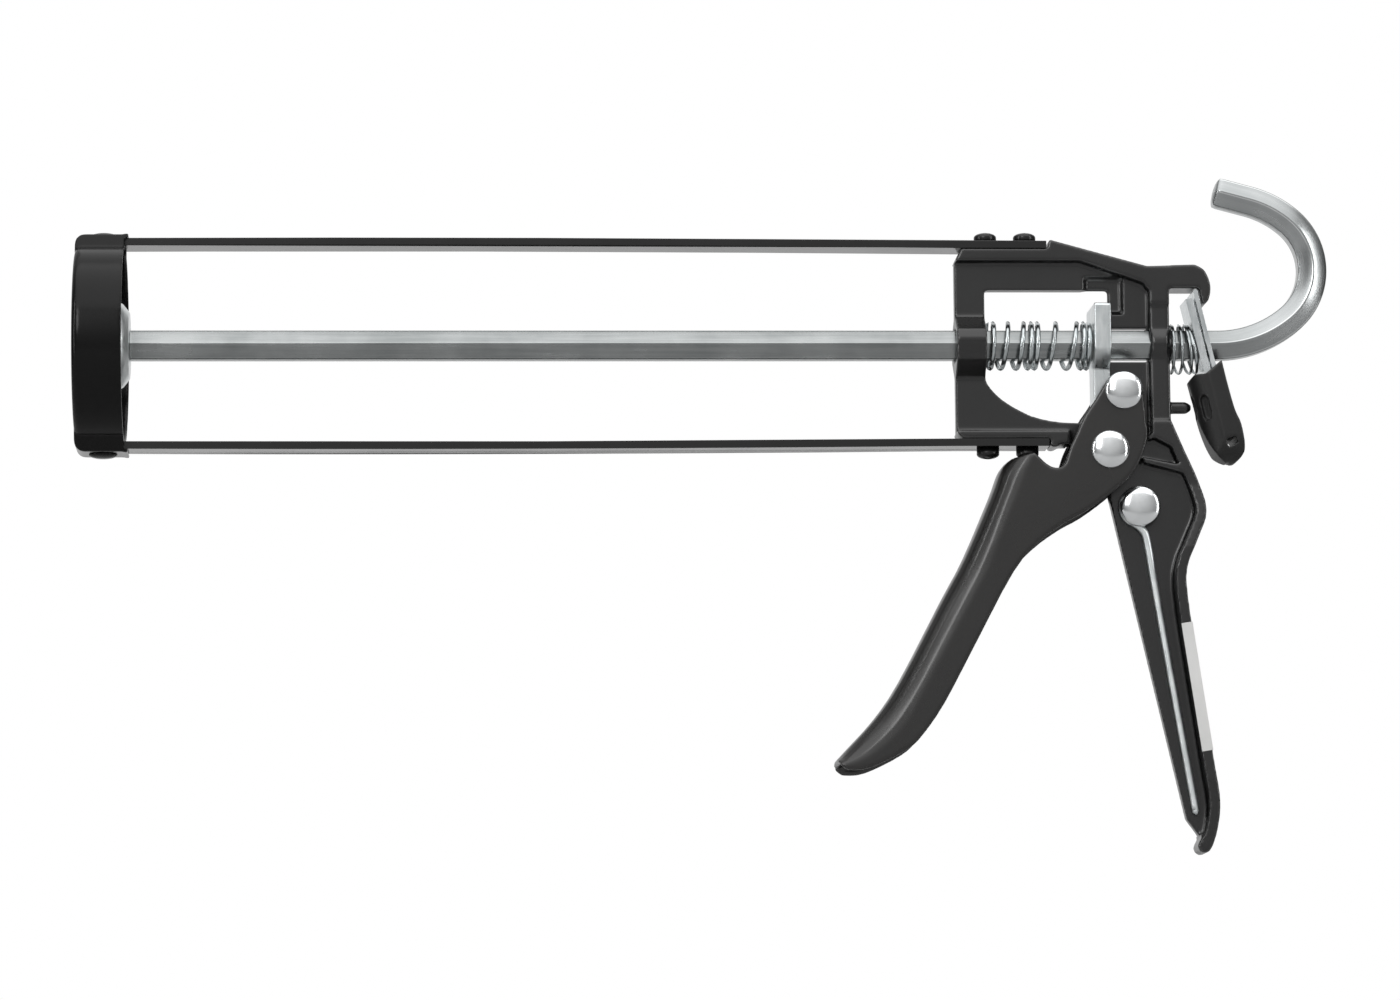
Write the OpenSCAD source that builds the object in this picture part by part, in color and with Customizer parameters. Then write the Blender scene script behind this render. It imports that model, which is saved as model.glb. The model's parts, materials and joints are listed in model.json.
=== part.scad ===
// Caulking gun with an open cradle, a hexagonal push rod and a squeeze trigger.
// +X runs along the rod from the ring to the hook, +Z is up, and Y = 0 is the plane of symmetry.
// The origin is the middle of the ring's nozzle hole, on the ring's front face.

/* [Front ring] */
// Outside diameter of the ring
ring_d = 50.4; // [49:0.2:56]
// Thickness of the ring's sheet
ring_sheet = 0.9; // [0.7:0.1:1.3]
// Depth of the ring along the rod
ring_depth = 12.4; // [10.4:0.2:20]
// Diameter of the hole for the cartridge's nozzle
nozzle_d = 34; // [26:1:38]
// Outside radius of the ring's front corner
ring_corner = 1.7; // [1.3:0.1:2.4]
// Height of the pressed pads above the ring's round wall
pad_rise = 2.3; // [2:0.1:3]
// Thickness of the sheet over each strap
pad_sheet = 0.8; // [0.6:0.1:1.2]
// Width of each pad's slope, on each side of its flat top
pad_slope = 2; // [1:0.2:4]
// How far each pad's rear lip reaches behind the ring's round wall
pad_reach = 0.9; // [0.2:0.1:1.6]
// How far each pad's rear lip is turned up
pad_lip = 0.3; // [0.1:0.1:0.6]
// Diameter of the ring rivets' heads
ring_rivet_head_d = 7.1; // [5.5:0.1:8.5]
// Height of the ring rivets' heads
ring_rivet_head_h = 1.1; // [0.6:0.1:1.8]
// Diameter of the ring rivets' shanks
ring_rivet_d = 4; // [3:0.1:5]

/* [Straps] */
// Width of the straps
strap_w = 10; // [9:0.2:12]
// Thickness of the straps
strap_t = 1.9; // [1.4:0.1:2.6]
// How much nearer to the rod each strap is at the frame than at the ring
strap_taper = 0.5; // [0:0.1:1]
// How far each strap bows outwards midway
strap_bow = 0.35; // [0:0.05:1]
// Length of strap that lies on the frame
strap_seat = 23.2; // [22:0.1:26]
// Diameter of the strap screws' heads
screw_head_d = 5.7; // [5:0.1:7.5]
// Height of the strap screws' heads
screw_head_h = 2.7; // [1.8:0.1:3.2]
// Diameter of the strap screws' shanks
screw_d = 3; // [2.4:0.1:3.4]

/* [Push rod] */
// Width of the rod across its flats
rod_af = 7.3; // [6.4:0.1:7.6]
// Where the hook starts to bend, behind the frame's front face
hook_start = 66.7; // [66:0.1:72]
// Radii of the hook's bends along the rod's centre
hook_r1 = 29.1; // [26:0.1:34]
hook_r2 = 16.4; // [14:0.1:20]
hook_r3 = 26; // [22:0.5:34]
// Length of the hook's straight end
hook_tail = 9.3; // [6:0.1:20]
// Diameter of the rod's turned end, inside the piston
rod_neck_d = 6; // [5:0.1:6.4]

/* [Piston] */
// Radial gap between the piston and the ring's round wall
piston_gap = 2; // [1.2:0.1:3]
// Thickness of the piston's sheet
piston_sheet = 1.2; // [0.8:0.1:1.6]
// Radius of the piston's flat middle
piston_hub_r = 8.4; // [8:0.1:12]
// How far the piston's middle stands behind its flange
piston_dish = 5.6; // [4:0.1:7]
// Where the piston's front face rests behind the ring's front face
piston_x = 6.8; // [4:0.1:7.4]
// Diameter of the washer in front of the piston
washer_d = 14; // [11:0.5:15]

/* [Frame] */
// Length of the cradle, from the ring's front face to the frame's front face
cradle_l = 221.4; // [160:0.2:320]
// Half of the thickness of the frame's web
web_half = 2; // [1.7:0.1:2.6]
// Thickness of the flange under each strap
seat_flange = 3.2; // [2.4:0.1:4]
// Height of the window's top edge above the rod
window_top = 14; // [12:0.1:16]
// Front and back edges of the window, behind the frame's front face
window_front = 7.6; // [6:0.1:9]
window_back = 39; // [38:0.1:40]
// Back face of the frame's column, behind its front face
column_back = 54.2; // [53.4:0.1:54.4]
// Thickness of the column's flange
column_flange = 5; // [3.5:0.1:5.4]
// Height of the hood above the rod
hood_top = 20.2; // [18.7:0.1:21.5]
// Depth of the handle's toe below the rod
handle_drop = 128.9; // [118:0.2:150]
// Half of the width of the handle's rear flange
palm_half = 8; // [6.5:0.1:10]
// Thickness of the handle's rear flange
palm_t = 2.7; // [2.4:0.1:4]
// Depth of the label on the handle, down from its top edge
label_h = 32.6; // [20:0.2:36]
// Thickness of the label
label_t = 0.15; // [0.1:0.05:0.3]

/* [Trigger] */
// Place of the trigger's pivot behind the frame's front face
pivot_x = 38; // [37.4:0.1:38.6]
// Depth of the trigger's pivot below the rod
pivot_drop = 27.7; // [27.2:0.1:29]
// Outside width of the trigger's channel
trigger_w = 19; // [17:0.2:23]
// Thickness of the trigger's sheet
trigger_sheet = 1.5; // [1.1:0.1:1.8]
// Outside radius of the channel's front corners
trigger_corner = 6; // [3:0.1:7.5]
// Length of the trigger below its pivot
trigger_l = 80.6; // [69:0.1:93]
// Diameter of the pivot rivet's shank
pivot_d = 5; // [4:0.1:6]
// Diameter of the drive rivet's shank
drive_rivet_d = 4; // [3:0.1:4.2]
// Outside diameter of the tube round the drive rivet
spacer_d = 5.2; // [4.6:0.1:5.4]
// Diameter of the trigger rivets' heads
rivet_head_d = 9.6; // [8:0.1:10.4]
// Height of the trigger rivets' heads
rivet_head_h = 2; // [1.2:0.1:2.6]

/* [Drive plate] */
// Thickness of the drive plate
plate_t = 4.2; // [3:0.1:5]
// Width of the drive plate's head
plate_w = 17; // [15.4:0.2:18]
// Height of the drive plate above the rod
plate_top = 9.9; // [9:0.1:11.5]
// Width of the drive plate's stem
stem_w = 9; // [7:0.2:10]

/* [Springs] */
// Outside diameter of the main spring
main_spring_d = 12.8; // [12:0.1:14]
// Thickness of the main spring's wire
main_wire = 1.2; // [0.8:0.1:1.4]
// Outside diameter of the release spring
release_spring_d = 13; // [12:0.1:13.6]
// Thickness of the release spring's wire
release_wire = 0.75; // [0.6:0.05:0.8]
// How far the release spring hangs below the rod's axis
release_sag = 0.9; // [0:0.1:1.2]

/* [Release] */
// Lean of the release lever from upright, at rest
lean = 13; // [11:0.5:14]
// Thickness of the release lever
lever_t = 1.1; // [0.9:0.1:1.4]
// Width of the release lever and of the lock plate
lever_w = 11.5; // [11:0.1:12]
// Thickness of the lock plate
lock_t = 1.85; // [1.5:0.05:2]
// Gap between the lock plate and the lever
lock_gap = 0.5; // [0.3:0.1:0.9]
// Width of the thumb cap
cap_w = 14; // [13.4:0.1:16]
// Depth of the thumb cap's end below the rod
cap_drop = 30.6; // [29:0.2:32]

/* [Seal wire] */
// Thickness of the wire that opens cartridges
wire_d = 2; // [1.4:0.1:2.2]
// Length of the wire from its rivet to its point
wire_l = 78.6; // [60:0.2:80]
// Diameter of the wire's rivet head
wire_rivet_head_d = 10.3; // [9:0.1:11]
// Diameter of the wire's rivet shank
wire_rivet_d = 6.6; // [5:0.1:7]

/* [Clearances] */
// Radial clearance of the shafts that turn or slide in bores
running = 0.08; // [0.03:0.01:0.1]
// Clearance on each side of a fixed piece in its seat
seat_gap = 0.1; // [0.05:0.05:0.2]
// Clearance between pieces that pass each other
pass_gap = 0.3; // [0.2:0.05:0.4]
// Play of the rod in the lock plate and the lever
lock_play = 0.6; // [0.5:0.05:0.7]

/* [Hidden] */
$fn = 64;

// Amount by which a cut runs past the solid it cuts
past = 1;

// Ring and straps
ring_r = ring_d / 2;
ring_bore_r = ring_r - ring_sheet;
pad_z = ring_r + pad_rise;
pad_back = ring_depth + pad_reach;
strap_ring_z = pad_z - pad_sheet;
strap_frame_z = strap_ring_z - strap_taper;
seat_z = strap_frame_z - strap_t;
strap_front = ring_sheet + 4 * seat_gap;
strap_back = cradle_l + strap_seat;
pad_half = strap_w / 2 + seat_gap + pad_sheet;
ring_rivet_x = ring_depth - 5.4;
screw_places = [8.1, 18.1];
screw_depth = 7;

// Rod
rod_r = rod_af / sqrt(3);
rod_bore_r = rod_r + running;
rod_front = piston_x + piston_sheet + piston_dish;
collar_l = 0.7;
washer_t = 1.2;
peen_h = 1.3;
rod_tip = rod_front - piston_sheet - washer_t - 2 * seat_gap;
hook_turns = [40, 100, 25];
hook_radii = [hook_r1, hook_r2, hook_r3];

// Flanges of the frame and the main points of its side view, behind its front face
flange_half = strap_w / 2;
pocket_top = seat_z - seat_flange;
column_front = column_back - column_flange;
hood_in = hood_top - 6.1;
column_foot = -19.7;
toe = -handle_drop;
label_tilt = 9;
rear_boss_l = 4.6;
rear_boss_r = 5.6;
rear_nose_r = 5;
column_half = 4.3;
front_boss_half = 8.2;
peg_z = -15.9;
peg_d = 3.1;
peg_back = column_back + 5.6;

// Trigger
pivot = [pivot_x, -pivot_drop];
drive_arm = [3.7, 15];
drive_pin = pivot + drive_arm;
cheek_half = trigger_w / 2 - trigger_sheet;
slot_back = drive_pin[0] + spacer_d / 2 + 0.6;

// Drive plate
plate_back = window_back - seat_gap;
plate_front = plate_back - plate_t;

// Release: the lever's top edge is the point it turns about, under the hood
lever_top = [61.3, 13.2];
lock_front = -(lever_t + lock_gap + lock_t);
lever_end = -34.3;
lock_end = -21.4;
rod_in_lever = -13.3;
rod_in_lock = -12.95;
cap_dimple_z = -29.3;

// Seal wire
wire_pin = [46, -41.5];
wire_y = -(web_half + wire_d / 2 + 0.15);
wire_eye_r = wire_rivet_d / 2 + running + wire_d / 2;

// Smooth curve through a list of points, with n steps from each point to the next
function along(a, b, c, d, t) = 0.5 * (2 * b + (c - a) * t + (2 * a - 5 * b + 4 * c - d) * t * t
  + (3 * b - a - 3 * c + d) * t * t * t);
function curve(p, n = 4) = [for (i = [0:len(p) - 2], k = [0:n - (i < len(p) - 2 ? 1 : 0)])
  along(p[max(i - 1, 0)], p[i], p[i + 1], p[min(i + 2, len(p) - 1)], k / n)];

// The same line moved sideways by d, to the left of its direction
function unit(v) = v / norm(v);
function beside(p, d) = [for (i = [0:len(p) - 1])
  let (v = unit(p[min(i + 1, len(p) - 1)] - p[max(i - 1, 0)])) p[i] + d * [-v[1], v[0]]];
function backwards(p) = [for (i = [len(p) - 1:-1:0]) p[i]];
function arc(c, r, a0, a1, n = 6) = [for (k = [0:n])
  let (a = a0 + (a1 - a0) * k / n) c + r * [cos(a), sin(a)]];

// A side view (X, Z) extruded across Y, w wide, about Y = y
module side(w, y = 0) translate([0, y, 0]) rotate([90, 0, 0])
  linear_extrude(w, center = true) children();

// A front view (Y, Z) extruded along X from x0 to x1
module front_view(x0, x1) translate([x0, 0, 0]) rotate([90, 0, 90])
  linear_extrude(x1 - x0) children();

module tube_x(x0, x1, r) translate([x0, 0, 0]) rotate([0, 90, 0]) cylinder(x1 - x0, r, r);
module pin_y(p, r, y0, y1) translate([p[0], y1, p[1]]) rotate([90, 0, 0]) cylinder(y1 - y0, r, r);

// Round head of a rivet or a screw, standing on Z = 0
module dome(d, h) {
  ball_r = (d * d / 4 + h * h) / (2 * h);
  intersection() {
    translate([0, 0, h - ball_r]) sphere(ball_r);
    cylinder(h, d / 2, d / 2);
  }
}

// Bar of thickness d across its corners, along a list of points in space. It never runs along
// the direction given as across
module wire(path, d, sides = 8, across = [0, 1, 0]) {
  last = len(path) - 1;
  way = [for (i = [0:last - 1]) unit(path[i + 1] - path[i])];
  rings = [for (i = [0:last])
    let (t = unit(way[max(i - 1, 0)] + way[min(i, last - 1)]), u = unit(cross(t, across)),
         v = cross(t, u))
    for (k = [0:sides - 1]) let (a = 360 * (k + 0.5) / sides)
      path[i] + d / 2 * (cos(a) * u + sin(a) * v)];
  walls = [for (i = [0:last - 1], k = [0:sides - 1])
    let (a = i * sides + k, b = i * sides + (k + 1) % sides) [a, a + sides, b + sides, b]];
  ends = [[for (k = [0:sides - 1]) k], [for (k = [sides - 1:-1:0]) last * sides + k]];
  polyhedron(rings, concat(walls, ends));
}

// Side view of the frame: the rear edge from the column's foot to the toe
function rear_edge() = curve([[column_back, column_foot], [57.4, -27.3], [60.9, -35.5],
  [62.6, -43], [60, -50.2], [57.3, -57], [57.2, -64.5], [59.8, -84], [63, toe + 23],
  [64.5, toe + 13], [64, toe + 6.6], [62.8, toe + 2.2], [61.9, toe + 0.5]]);

module frame_edge() polygon(concat(
  [[0, 1.5 - seat_z], [0, pocket_top], [1.6, seat_z], [strap_seat + 0.3, seat_z],
    [strap_seat + 0.7, strap_frame_z + 0.4], [48.7, hood_top - 0.4]],
  curve([[60.9, hood_top], [63.4, hood_top - 1.6], [64.8, hood_top - 5.4], [64.3, hood_in - 2.9],
    [63, hood_in - 4.1]]),
  [[62.5, hood_in - 3.4], [61.8, hood_in], [column_back, hood_in]],
  rear_edge(),
  arc([60.7, toe + 1.75], 1.75, -60, -210),
  curve([[60, toe + 4], [58.3, toe + 6.4], [56.6, toe + 8.7]]),
  [[38.1, -37.5], [30.6, -1.1 - seat_z], [28.5, -1.3 - seat_z], [26, -1.3 - seat_z],
    [25.2, -0.1 - strap_frame_z], [24.4, -0.2 - strap_frame_z], [strap_seat + 0.3, -strap_frame_z],
    [strap_seat + 0.3, -seat_z], [1.6, -seat_z]]));

// The hollows on both sides, down to the web: open to the front, and bounded by the flanges
module pockets() polygon(concat(
  [[-past, 2.2 - seat_z], [-past, pocket_top], [31.6, pocket_top], [column_front - 1.6, 15.5],
    [column_front, 13.4], [column_front, column_foot - 4]],
  [for (p = beside(rear_edge(), -palm_t)) if (p[1] < column_foot - 6 && p[1] > toe + 4.2) p],
  [[30, toe + 4], [28.4, -30], [28.4, 2.2 - seat_z]]));

// The window round the drive plate and its spring, with the slot for the drive rivet's travel
module window() {
  polygon(concat([[window_front, window_top], [window_back, window_top]],
    [[window_back, -20]],
    curve([[32.6, -20], [24.7, -19.5], [18.1, -17.7], [11.9, -14.1], [8.4, -10.5],
      [window_front, -8.5]])));
  translate([window_back - past, -17]) square([slot_back - window_back + past, 8.4]);
  translate([window_back - past, -4.4]) square([column_front - window_back + 1.4, 8.6]);
}

// Broad flange behind the palm: narrow at the column and at the toe
module palm_flange(skin = 0) intersection() {
  side(2 * (palm_half + skin))
    polygon(concat(beside(rear_edge(), skin), backwards(beside(rear_edge(), -palm_t))));
  front_view(40, 80) polygon([for (s = [-1, 1]) for (p = s < 0 ?
    [[flange_half, column_foot], [flange_half, -36], [palm_half, -52], [palm_half, toe + 18],
      [flange_half, toe]] :
    [[flange_half, toe], [palm_half, toe + 18], [palm_half, -52], [flange_half, -36],
      [flange_half, column_foot]]) [s * (p[0] + skin), p[1]]]);
}

// Web and flanges, with the column narrower than the other flanges
module frame_walls() difference() {
  union() {
    side(2 * web_half) difference() {
      frame_edge();
      window();
    }
    side(2 * flange_half) difference() {
      frame_edge();
      pockets();
    }
    palm_flange();
  }
  for (s = [-1, 1]) side(flange_half - column_half, s * (flange_half + column_half) / 2)
    polygon([[column_front - 1, 10], [column_front - 1, column_foot], [column_back + past, column_foot],
      [column_back + past, 10]]);
}

module frame_casting() color("#2a2a2a") translate([cradle_l, 0, 0]) difference() {
  union() {
    frame_walls();
    front_view(0, window_front) polygon([[-web_half, 7.2], [web_half, 7.2], [7.4, 3.2],
      [front_boss_half, 0.8], [7.4, -4], [web_half, -8.5], [-web_half, -8.5], [-7.4, -4],
      [-front_boss_half, 0.8], [-7.4, 3.2]]);
    tube_x(column_back - rear_boss_l, column_back - 0.6, rear_boss_r);
    translate([column_back - 0.6, 0, 0]) rotate([0, 90, 0]) cylinder(1.4, rear_nose_r, rear_nose_r - 0.5);
    pin_y(pivot, 6, -(cheek_half - pass_gap), cheek_half - pass_gap);
    stop_peg();
    side(2 * flange_half) polygon([[46.4, -29], [47.2, -30.4], [57.6, -33.2], [57.4, -31.2]]);
    side(2 * flange_half) polygon([[47.9, -23.8], [48.5, -24.6], [54, -22.4], [53, -20.6]]);
  }
  tube_x(-past, column_back + 2, rod_bore_r);
  pin_y(pivot, pivot_d / 2 + running, -trigger_w, trigger_w);
  pin_y(wire_pin, wire_rivet_d / 2 + seat_gap / 2, -trigger_w, trigger_w);
  for (x = screw_places, s = [-1, 1])
    translate([x, 0, s * (seat_z - screw_depth / 2 + past / 2)])
      cylinder(screw_depth + past, screw_d / 2 + seat_gap / 2, screw_d / 2 + seat_gap / 2, center = true);
  for (s = [-1, 1]) {
    side(1.1, s * web_half) polygon([[32.7, window_top], [32.7, 17.6], [43, 17.6], [43, 7.6],
      [window_back, 7.6], [window_back, window_top]]);
    side(2.6, s * web_half) polygon([[33.4, window_top], [33.4, 17], [42.4, 17], [42.4, 8.2],
      [window_back, 8.2], [window_back, window_top]]);
  }
}

// The short peg behind the column that the release lever stops against
module stop_peg() translate([0, 0, peg_z]) {
  tube_x(column_back - 2, peg_back - 1.3, peg_d / 2);
  translate([peg_back - 1.3, 0, 0]) rotate([0, 90, 0]) cylinder(1.3, peg_d / 2, peg_d / 4);
}

// Deep-drawn ring, with a pad pressed up at the top and bottom over the straps
module front_ring() color("#161616") difference() {
  union() {
    rotate([0, 90, 0]) rotate_extrude() polygon(concat([[0, 0]],
      arc([ring_r - ring_corner, ring_corner], ring_corner, -90, 0), [[ring_r, ring_depth],
      [0, ring_depth]]));
    for (turn = [0, 180]) rotate([turn, 0, 0]) intersection() {
      side(4 * strap_w) polygon(concat([[0, ring_bore_r - 6]], [[0, pad_z - 2.5]],
        arc([2.5, pad_z - 2.5], 2.5, 180, 90), [[ring_depth - 0.6, pad_z],
          [pad_back, pad_z + pad_lip], [pad_back, strap_ring_z],
          [ring_depth, strap_ring_z - 0.4], [ring_depth, ring_bore_r - 6]]));
      front_view(0, pad_back) polygon([[-pad_half, pad_z + pad_lip],
        [pad_half, pad_z + pad_lip], [pad_half + pad_slope, pad_z - 3.6], [pad_half + pad_slope, ring_bore_r - 6],
        [-pad_half - pad_slope, ring_bore_r - 6], [-pad_half - pad_slope, pad_z - 3.6]]);
    }
  }
  tube_x(ring_sheet, ring_depth + past, ring_bore_r);
  tube_x(-past, ring_depth, nozzle_d / 2);
  translate([ring_sheet, -strap_w / 2 - seat_gap, -strap_ring_z])
    cube([pad_back, strap_w + 2 * seat_gap, 2 * strap_ring_z]);
  translate([ring_rivet_x, 0, 0]) cylinder(4 * ring_r, ring_rivet_d / 2 + seat_gap / 2,
    ring_rivet_d / 2 + seat_gap / 2, center = true);
}

// Outer face of a strap: flat in the ring and on the frame, slightly bowed between them
function strap_z(x) = let (t = min(max((x - pad_back) / (cradle_l - pad_back), 0), 1))
  strap_ring_z - strap_taper * t + 4 * strap_bow * t * (1 - t);

// One bar, s = 1 at the top and s = -1 at the bottom
module strap(s) difference() {
  stations = concat([strap_front],
    [for (k = [0:12]) pad_back + (cradle_l - pad_back) * k / 12], [strap_back]);
  side(strap_w) polygon(concat([for (x = stations) [x, s * strap_z(x)]],
    [for (x = backwards(stations)) [x, s * (strap_z(x) - strap_t)]]));
  translate([ring_rivet_x, 0, s * ring_r])
    cylinder(8 * strap_t, ring_rivet_d / 2 + seat_gap / 2, ring_rivet_d / 2 + seat_gap / 2, center = true);
  for (x = screw_places) translate([cradle_l + x, 0, s * ring_r])
    cylinder(8 * strap_t, screw_d / 2 + seat_gap / 2, screw_d / 2 + seat_gap / 2, center = true);
}
module top_strap() color("#3a3a3c") strap(1);
module bottom_strap() color("#3a3a3c") strap(-1);

module ring_rivets() color("#222222") for (turn = [0, 180]) rotate([turn, 0, 0])
  translate([ring_rivet_x, 0, 0]) {
    translate([0, 0, pad_z]) dome(ring_rivet_head_d, ring_rivet_head_h);
    translate([0, 0, strap_ring_z - strap_t]) cylinder(strap_t + pad_sheet, ring_rivet_d / 2, ring_rivet_d / 2);
    translate([0, 0, strap_ring_z - strap_t]) mirror([0, 0, 1]) dome(ring_rivet_d + 1.6, 0.6);
  }

// Two pan-head screws with a cross slot
module strap_screws() for (x = screw_places) translate([cradle_l + x, 0, 0]) difference() {
  union() {
    translate([0, 0, strap_frame_z]) cylinder(screw_head_h - 1, screw_head_d / 2, screw_head_d / 2);
    translate([0, 0, strap_frame_z + screw_head_h - 1]) dome(screw_head_d, 1);
    translate([0, 0, seat_z - screw_depth + 0.6]) cylinder(strap_t + screw_depth, screw_d / 2, screw_d / 2);
  }
  for (turn = [45, 135]) translate([0, 0, strap_frame_z + screw_head_h]) rotate([0, 0, turn])
    cube([screw_head_d * 0.55, 0.7, 2.2], center = true);
}
module top_strap_screws() color("#1c1c1c") strap_screws();
module bottom_strap_screws() color("#1c1c1c") mirror([0, 0, 1]) strap_screws();

// Hexagonal bar with its flats at the top and bottom, bent up into a hook by three arcs
function turn_start(i) = i == 0 ? -90 : turn_start(i - 1) + hook_turns[i - 1];
function bend_middle(i) = i == 0 ? [cradle_l + hook_start, hook_r1] : bend_middle(i - 1)
  + (hook_radii[i - 1] - hook_radii[i]) * [cos(turn_start(i)), sin(turn_start(i))];
function bend(i) = arc(bend_middle(i), hook_radii[i], turn_start(i), turn_start(i + 1),
  ceil(hook_turns[i] / 6));
module push_rod() color("#a9abad") {
  tail_turn = turn_start(3);
  tail = bend_middle(2) + hook_r3 * [cos(tail_turn), sin(tail_turn)];
  line = concat([[rod_front + collar_l, 0]], bend(0), [for (i = [1, 2], p = bend(i))
    if (norm(p - bend(i)[0]) > 0) p], [tail + hook_tail * [-sin(tail_turn), cos(tail_turn)]]);
  wire([for (p = line) [p[0], 0, p[1]]], 2 * rod_r, 6);
  tube_x(rod_front, rod_front + collar_l + 0.3, rod_af / 2 - 0.05);
  tube_x(rod_tip, rod_front + 0.3, rod_neck_d / 2);
  translate([rod_tip, 0, 0]) rotate([0, -90, 0]) dome(rod_neck_d + 2, peen_h);
}

module piston_plate() color("#c4c6c5") {
  back = rod_front - seat_gap / 2;
  hole_r = rod_neck_d / 2 + seat_gap;
  rim_r = ring_bore_r - piston_gap;
  flange = piston_x + piston_sheet;
  rotate([0, 90, 0]) rotate_extrude() polygon([[hole_r, back - piston_sheet], [hole_r, back],
    [piston_hub_r, back], [piston_hub_r + 2, back - 1.6], [piston_hub_r + 4.2, flange + 0.6],
    [piston_hub_r + 5.4, flange], [rim_r, flange], [rim_r, flange - piston_sheet],
    [piston_hub_r + 5, flange - piston_sheet], [piston_hub_r + 3, flange - piston_sheet + 0.6],
    [piston_hub_r + 1, back - 1.6 - piston_sheet / 2], [piston_hub_r - 0.6, back - piston_sheet]]);
}

module piston_washer() color("#b9bbbb") {
  back = rod_front - piston_sheet - 1.5 * seat_gap;
  difference() {
    tube_x(back - washer_t, back, washer_d / 2);
    tube_x(0, back + past, rod_neck_d / 2 + seat_gap);
  }
}

// Thick plate round the rod, which the trigger pushes forward by its stem
module drive_plate() color("#aeb4b4") translate([cradle_l, 0, 0])
  front_view(plate_front, plate_back) difference() {
    polygon([[-plate_w / 2 + 0.5, plate_top], [plate_w / 2 - 0.5, plate_top],
      [plate_w / 2, plate_top - 0.5], [plate_w / 2, -2], [stem_w / 2, -6.6], [stem_w / 2, -16.5],
      [stem_w / 2 - 0.8, -17.3], [0.8 - stem_w / 2, -17.3], [-stem_w / 2, -16.5],
      [-stem_w / 2, -6.6], [-plate_w / 2, -2], [-plate_w / 2, plate_top - 0.5]]);
    circle(rod_r + 2 * running, $fn = 6);
  }

// Coil round the rod: rest gives the share of the spring's length at each turn
function coil(x0, x1, lean_back, r, rest, steps = 14) =
  let (n = (len(rest) - 1) * steps)
  [for (k = [0:n]) let (turn = k / steps, i = min(floor(turn), len(rest) - 2),
    s = rest[i] + (rest[i + 1] - rest[i]) * (turn - i), a = 360 * turn)
    [x0 + s * (x1 - x0 - lean_back * r * cos(a)), r * sin(a), r * cos(a)]];

module main_spring() color("#8f9193") translate([cradle_l, 0, 0])
  wire(coil(window_front + main_wire / 2 + 0.05, plate_front - main_wire / 2 - 0.05, 0,
    (main_spring_d - main_wire) / 2, [0, 0.06, 0.21, 0.365, 0.435, 0.495, 0.68, 0.89, 0.95, 1]),
    main_wire, across = [1, 0, 0]);

module release_spring() color("#9a9c9d") translate([cradle_l, 0, -release_sag])
  wire(coil(column_back + release_wire / 2 + 0.05,
    lever_top[0] + lock_front * cos(lean) - rod_in_lock * sin(lean) - release_wire * 0.6 - 0.1, tan(lean),
    (release_spring_d - release_wire) / 2, [0, 0.115, 0.56, 0.875, 1]), release_wire, across = [1, 0, 0]);

// Trigger, about its pivot: the front line in the middle of the channel, the line at which each
// flat cheek starts, and the open edge from the tip round to the notch at the top
tip = -trigger_l;
function trigger_front() = curve([[-24.2, -1.6], [-26.1, -3], [-27.6, -5.2], [-30, -11.6],
  [-36.7, -26.8], [-42.2, -36.9], [-53.2, tip + 23], [-59.8, tip + 13.4], [-66.7, tip + 5.9],
  [-69.6, tip + 2.8]], 3);
function trigger_cheek() = curve([[-19.1, -0.7], [-20.6, -3.8], [-22.4, -7.6], [-25, -14],
  [-30.6, -29], [-36, -39.5], [-47, tip + 20.6], [-53.6, tip + 10.2], [-62.2, tip + 3.2],
  [-68.6, tip + 1.3]], 3);
function trigger_open() = concat(
  curve([[-67.2, tip + 0.2], [-63.5, tip + 0.2], [-59.3, tip + 1.5], [-52.1, tip + 5.2],
    [-48.1, tip + 8.9], [-42.4, tip + 17.1], [-34.4, -48.5], [-24.8, -30.9], [-18.3, -23.4],
    [-11.3, -18.3], [-5.8, -15.3], [1, -10.3], [6.2, -5.2], [9.4, 2.4], [9.2, 7.5]], 3),
  arc(drive_arm, 5, 15, 150, 8),
  curve([[-3.6, 12.6], [-6.2, 8.8], [-8.7, 3.6], [-10.2, 0.3], [-11.4, -3.2], [-12.7, -4.5],
    [-14.6, -4.4], [-16.4, -3.3], [-17.7, -2]], 3));

// Triangles between two lines of points, both given as indices
function strip(a, b) = let (last_a = len(a) - 1, last_b = len(b) - 1,
    apex = [for (k = [0:last_a - 1]) floor((k + 0.5) * last_b / last_a)])
  concat([for (k = [0:last_a - 1]) [a[k], a[k + 1], b[apex[k]]]],
    [for (l = [0:last_b - 1]) [b[l + 1], b[l], a[len([for (p = apex) if (p <= l) p])]]]);

// Triangles that fill a cheek of the channel: a fan about the hub above the neck, which crosses
// from the cheek line's point neck[0] to the open edge's point neck[1], and a strip below it
function fan(hub, ring) = [for (i = [0:len(ring) - 1]) [hub, ring[i], ring[(i + 1) % len(ring)]]];
function cheek_faces(line, m, hub, neck) = concat(
  fan(hub, concat([for (i = [0:neck[0]]) line[i]], [for (i = [m + neck[1]:len(line) - 1]) line[i]])),
  strip([for (i = [neck[0]:m - 1]) line[i]], [for (i = [m + neck[1]:-1:m]) line[i]]));
function turned_over(faces) = [for (f = faces) backwards(f)];

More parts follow.
